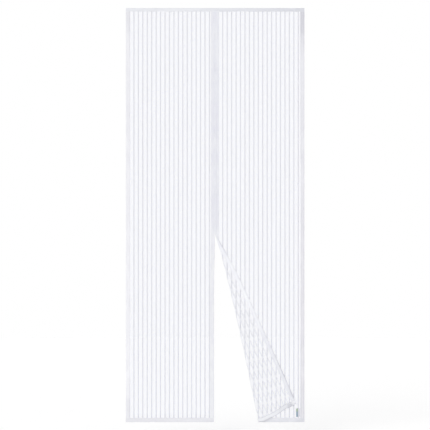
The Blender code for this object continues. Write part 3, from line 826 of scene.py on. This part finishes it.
def right_border_painted_shade(along, inward):
    """Painted shade over the whole tape, two soft furrows of it along it, deeper lower down, a dull
    top end, and less of it on the lips half way up.
    """
    furrow_shade = line(inward, 0.0145, 0.0026) + line(inward, 0.0045, 0.0026)
    furrow_shade = furrow_shade * (1 + 0.5 * waver(along, FURROW_SEED, FURROW_LENGTHS))
    near_top, top_end = ramp(along, -0.27, -0.14), ramp(along, -0.14, -0.10)
    lower_half, foot = ramp(-along, 0.95, 1.05), ramp(-along, 1.85, 1.95)
    half_way = ramp(-along, 0.70, 0.80) * ramp(along, -1.72, -1.62)
    pale = half_way * ramp(inward, 0.0165, 0.0185)
    return (
        0.26 * (1 - pale) + (0.16 + 0.14 * lower_half) * furrow_shade
        + (0.22 * near_top + 0.28 * top_end) + 0.10 * foot
    )


side_left = add_tape(
    "side_binding_left_tape", SIDE_BINDING, heights, upright(LEFT_EDGE, 1), left_tape,
    SIDE_SEEDS[0], "side_binding_left", left_border_painted_shade,
)
side_right = add_tape(
    "side_binding_right_tape", SIDE_BINDING, heights, upright(RIGHT_EDGE, -1), right_tape,
    SIDE_SEEDS[1], "side_binding_right", right_border_painted_shade,
)


def left_closing_painted_shade(along, inward):
    """Painted shade: a soft furrow along its magnets, and below the split a duller tape and folded
    edge.
    """
    below = ramp(-along, 1.15, 1.25)
    return 0.10 * line(inward, 0.0085) + below * (0.04 + 0.15 * line(inward, 0.001, 0.003))


closing_left = add_tape(
    "closing_binding_left_tape", CLOSING_BINDING, heights, left_meeting, seam_tape,
    CLOSING_SEEDS[0], "closing_binding_left", left_closing_painted_shade, **magnets,
)


def right_closing_painted_shade(along, inward):
    """Painted shade: two furrows above the split, and below it a dark free edge as painted shadow,
    darkest at the fold's top and just above its tip."""
    above_split, below_split = ramp(along, -1.2, -1.1), ramp(-along, 1.15, 1.20)
    furrow_shade = 0.22 * ramp(-along, 0.5, 0.6) * line(inward, 0.0072) + 0.14 * line(inward, 0.0188)
    fold_top, above_tip = line(along, -1.20, 0.05), line(along, -1.90, 0.08)
    free_edge_shadow = 0.3 * below_split + 0.6 * fold_top + 0.6 * above_tip
    tip = 0.35 * line(inward, 0.0, 0.011) + 0.8 * line(inward, 0.0022, 0.0038)
    return (
        above_split * furrow_shade + free_edge_shadow * line(inward, 0.0012, 0.0032)
        + 0.25 * ramp(-along, 1.5, 1.85) + line(along, -2.03, 0.025) * tip
    )


closing_right = add_tape(
    "closing_binding_right_tape", CLOSING_BINDING, np.linspace(heights[0], heights[-1], 560),
    right_meeting, seam_tape, CLOSING_SEEDS[1], "closing_binding_right", right_closing_painted_shade,
    on_corner=True, **magnets,
)


def left_hem_painted_shade(along, inward):
    """Painted shade: dull but for its lips, and duller at its folded edge."""
    return 0.135 * (1 - ramp(inward, 0.018, 0.021)) + 0.1 * line(inward, 0.0)


def right_hem_painted_shade(along, inward):
    """Dark over the weight, and painted shade along the edges where it is turned over and at both
    ends.
    """
    weight = line(along, RIGHT_CLOSING_X + WEIGHT_PLACE, 0.012) * line(inward, 0.0085, 0.0075)
    inner_end = 0.2 * ramp(-along, -0.10, -0.085) * ramp(along, 0.02, 0.04)
    outer_end = 0.2 * ramp(along, 0.39, 0.43)
    edges = line(inward, 0.0005, 0.0022) + line(inward, HEM - 0.001, 0.0022)
    turned = ramp(-along, -0.24, -0.20)
    return (
        0.135 * (1 - ramp(inward, 0.018, 0.021)) + 1.5 * weight + (inner_end + outer_end)
        + turned * (0.12 + 0.6 * edges)
    )


hem_left = add_tape(
    "hem_left_tape", HEM, np.linspace(LEFT_EDGE, LEFT_FOOT_X, 100), level(BOTTOM_Z, 1), hem_tape,
    HEM_SEEDS[0], "hem_left", left_hem_painted_shade, **left_weight,
)
hem_right = add_tape(
    "hem_right_tape", HEM, np.linspace(RIGHT_CLOSING_X, RIGHT_EDGE, 200), level(BOTTOM_Z, 1),
    hem_tape, HEM_SEEDS[1], "hem_right", right_hem_painted_shade, on_corner=True, **right_weight,
)

# Stitching
# White polyester thread. One row of lockstitch runs along the lips of each tape, front and back,
# and a short row closes each magnet's pocket at both ends.
STITCH_PITCH = 0.0036
STITCH_LENGTH = 0.0031
STITCH_THREAD = 0.00042
STITCH_LIFT = 0.00008  # of its middle above the tape
STITCH_SIDES, STITCH_RINGS = 6, 4
SEWN_FROM = 0.0025  # from the end of a tape to its first stitch
POCKET_SEAM = 0.0105  # from the end of a block to the stitches that close its pocket

stitch_rows, stitch_in = new_group(
    "stitch_rows", "GeometryNodeTree",
    [("Lines", "Geometry"), ("Pitch", "Float"), ("Length", "Float"), ("Thread", "Float"),
     ("Material", "Material")],
    [("Stitches", "Geometry")],
)
stitch_line = add_node(stitch_rows, "GeometryNodeMeshToCurve", stitch_in["Lines"]).outputs[0]
stitch_at = add_node(
    stitch_rows, "GeometryNodeCurveToPoints", stitch_line, None, stitch_in["Pitch"], mode="LENGTH"
).outputs
stitch_turn = add_node(stitch_rows, "FunctionNodeAlignRotationToVector", axis="Z")
stitch_rows.links.new(stitch_at["Tangent"], stitch_turn.inputs["Vector"])
stitch_form = add_node(
    stitch_rows, "GeometryNodeMeshUVSphere", STITCH_SIDES, STITCH_RINGS, 0.5
).outputs[0]
stitch_size = add_node(
    stitch_rows, "ShaderNodeCombineXYZ", stitch_in["Thread"], stitch_in["Thread"],
    stitch_in["Length"],
).outputs[0]
stitch_form = add_node(
    stitch_rows, "GeometryNodeTransform", stitch_form, None, None, stitch_size
).outputs[0]
stitches = add_node(
    stitch_rows, "GeometryNodeInstanceOnPoints", stitch_at["Points"], None, stitch_form, None,
    None, stitch_turn.outputs[0],
).outputs[0]
stitches = add_node(stitch_rows, "GeometryNodeRealizeInstances", stitches).outputs[0]
stitches = add_node(
    stitch_rows, "GeometryNodeSetMaterial", stitches, None, stitch_in["Material"]
).outputs[0]
add_node(stitch_rows, "NodeGroupOutput", stitches)


def mottle(tree, spots):
    """Soft uneven spots, about this many in a metre."""
    place = add_node(tree, "ShaderNodeTexCoord").outputs["Object"]
    return add_node(tree, "ShaderNodeTexNoise", place, None, spots).outputs[0]


thread_material, thread_tree = new_material("sewing_thread")
set_finish(thread_tree, {
    "Base Color": mixed(
        thread_tree, mottle(thread_tree, 900.0), as_seen(226, 227, 232), as_seen(244, 245, 248)
    ),
    "Roughness": 0.45,
})


def sew_tape(width, along, place, seed, centres=(), length=0.0, block_reach=0.0,
             block_half=TAPE_HALF, pull=0.0):
    """Lines of stitches on both faces of a tape: along its lips, and across beside each block."""
    runs = [(along, np.full_like(along, width - STITCH_INSET))]
    for centre in centres:
        for side in (-1, 1):
            inward = np.linspace(STITCH_INSET, width - STITCH_INSET, 6)
            runs.append((np.full_like(inward, centre + side * (length / 2 + POCKET_SEAM)), inward))
    lines, edges = [], []
    for run, inward in runs:
        pockets = tape_pockets(run, centres, length)
        forward, aside = tape_drift(run, seed, pockets, pull)
        half = np.diag(tape_half(inward, width, pockets, block_half, block_reach + pull))
        for side in (-1, 1):
            points = place(run, inward + aside, side * (half + STITCH_LIFT) + forward)
            first = sum(map(len, lines))
            lines.append(points)
            edges += [(first + i, first + i + 1) for i in range(len(points) - 1)]
    return np.concatenate(lines), np.array(edges)


def add_stitching(name, tapes, laid):
    """One piece of stitching for several tapes, each given as its lines and their edges."""
    lines, edges, count = [], [], 0
    for points, joins in tapes:
        lines.append(points)
        edges.append(joins + count)
        count += len(points)
    points, faces = grown(
        np.concatenate(lines), np.concatenate(edges), stitch_rows, Pitch=STITCH_PITCH,
        Length=STITCH_LENGTH, Thread=STITCH_THREAD, Material=thread_material,
    )
    stitching = add_piece(name, laid(points), faces, points[:, [0, 2]], thread_material)
    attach(stitching, "root")
    return stitching


stitching_left = add_stitching("stitching_left", [
    sew_tape(
        TOP_BINDING, np.linspace(LEFT_EDGE + SEWN_FROM, RIGHT_EDGE - SEWN_FROM, 190),
        level(TOP_Z, -1), TOP_SEED,
    ),
    sew_tape(SIDE_BINDING, heights, upright(LEFT_EDGE, 1), SIDE_SEEDS[0]),
    sew_tape(CLOSING_BINDING, heights, left_meeting, CLOSING_SEEDS[0], **magnets),
    sew_tape(
        HEM, np.linspace(LEFT_EDGE + SEWN_FROM, LEFT_FOOT_X - SEWN_FROM, 100),
        level(BOTTOM_Z, 1), HEM_SEEDS[0], **left_weight,
    ),
], lambda points: points)
stitching_right = add_stitching("stitching_right", [
    sew_tape(SIDE_BINDING, heights, upright(RIGHT_EDGE, -1), SIDE_SEEDS[1]),
    sew_tape(CLOSING_BINDING, heights, right_meeting, CLOSING_SEEDS[1], **magnets),
    sew_tape(
        HEM, np.linspace(RIGHT_CLOSING_X + SEWN_FROM, RIGHT_EDGE - SEWN_FROM, 100),
        level(BOTTOM_Z, 1), HEM_SEEDS[1], **right_weight,
    ),
], lay_corner)

# Magnets and weights
# Dark ferrite block magnets and small flat steel weights, sealed in their pockets.
ferrite, ferrite_tree = new_material("ferrite")
set_finish(ferrite_tree, {
    "Base Color": mixed(
        ferrite_tree, mottle(ferrite_tree, 700.0), (0.035, 0.035, 0.038, 1.0),
        (0.085, 0.085, 0.09, 1.0),
    ),
    "Roughness": 0.55,
})

steel, steel_tree = new_material("weight_steel")
set_finish(steel_tree, {
    "Base Color": (0.32, 0.32, 0.34, 1.0),
    "Metallic": 1.0,
    "Roughness": rescaled(steel_tree, mottle(steel_tree, 300.0), 0.3, 0.7, 0.35, 0.6),
})

for node_name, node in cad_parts.items():
    if node_name.startswith("closing_magnet"):
        node.material_slots[0].material = ferrite
    if node_name.startswith("hem_weight"):
        node.material_slots[0].material = steel

# Fixing tapes
# Soft loop tape, sewn behind the top and side bindings. It presses onto hook tape on the door
# frame, so that the screen comes off again.
PILE_LOOPS = 850.0  # in a metre
PILE_RELIEF = 0.0005

loop_tape, loop_tree = new_material("loop_tape")
loop_place = add_node(loop_tree, "ShaderNodeTexCoord").outputs["Object"]
loop_cells = add_node(
    loop_tree, "ShaderNodeTexVoronoi", loop_place, None, PILE_LOOPS
).outputs["Distance"]
set_finish(loop_tree, {
    "Base Color": mixed(loop_tree, loop_cells, as_seen(244, 244, 247), as_seen(216, 217, 223)),
    "Roughness": 0.95,
    "Sheen Weight": 0.3,
    "Normal": relief(loop_tree, loop_cells, 0.8, PILE_RELIEF),
})
for node_name in ("fixing_tape_top", "fixing_tape_left", "fixing_tape_right"):
    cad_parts[node_name].material_slots[0].material = loop_tape

# Side label
# A short loop of satin ribbon, caught under the stitching of the right side binding. It is blank,
# with a darker field beside a pale one.
LABEL_LOW, LABEL_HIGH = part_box("side_label")
LABEL_CURL = 0.0016  # how far its free fold stands out, most of all at its upper end
LABEL_ROWS, LABEL_COLUMNS = 15, 12
RIBBON = 0.0004  # thickness of the ribbon, folded double
RIBBON_RIB = 0.0004  # pitch of its ribs
RIBBON_RELIEF = 0.0001
FIELD_EDGE = 0.0098, 0.0102  # where the darker field ends, from the free fold
FIELD_FADE = 0.024, 0.030  # where its tone changes, from the lower end

label_satin, label_tree = new_material("label_satin")
label_at = add_node(label_tree, "ShaderNodeSeparateXYZ", cloth_map(label_tree)).outputs
label_dark = mixed(
    label_tree, rescaled(label_tree, label_at["Y"], *FIELD_FADE), as_seen(150, 168, 184),
    as_seen(164, 182, 162),
)
label_ribs = math_node(label_tree, "MULTIPLY", label_at["Y"], 2 * math.pi / RIBBON_RIB)
label_ribs = math_node(label_tree, "SINE", label_ribs)
set_finish(label_tree, {
    "Base Color": mixed(
        label_tree, rescaled(label_tree, label_at["X"], *FIELD_EDGE), label_dark,
        as_seen(221, 221, 229),
    ),
    "Roughness": 0.4,
    "Normal": relief(label_tree, label_ribs, 0.3, RIBBON_RELIEF),
})

label_round = np.linspace(-math.pi / 2, math.pi / 2, 7)[1:-1]
label_run = (LABEL_HIGH.x - LABEL_LOW.x - RIBBON) * np.linspace(0.0, 1.0, LABEL_COLUMNS)
label_x = np.concatenate([
    LABEL_HIGH.x - label_run,
    LABEL_LOW.x + RIBBON - RIBBON * np.cos(label_round),
    LABEL_LOW.x + RIBBON + label_run,
])
label_depth = np.concatenate([
    np.full(LABEL_COLUMNS, 0.0), RIBBON / 2 + RIBBON / 2 * np.sin(label_round),
    np.full(LABEL_COLUMNS, RIBBON),
])
label_z = np.linspace(LABEL_HIGH.z, LABEL_LOW.z, LABEL_ROWS)
label_free = (LABEL_HIGH.x - label_x) / (LABEL_HIGH.x - LABEL_LOW.x)
label_sag = 0.75 + 0.25 * np.cos(np.linspace(0.4, 2.2, LABEL_ROWS))
label_y = LABEL_HIGH.y - label_depth - LABEL_CURL * label_free**2 * label_sag[:, None]
label_points = np.stack([
    np.tile(label_x, LABEL_ROWS), label_y.ravel(), np.repeat(label_z, len(label_x)),
], axis=1)
label_cloth = label_points[:, [0, 2]] - (LABEL_LOW.x, LABEL_LOW.z)
label = add_piece(
    "side_label_ribbon", label_points, tube_faces(LABEL_ROWS, len(label_x)), label_cloth,
    label_satin,
)
close_up(label)
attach(label, "root")
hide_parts("side_label")
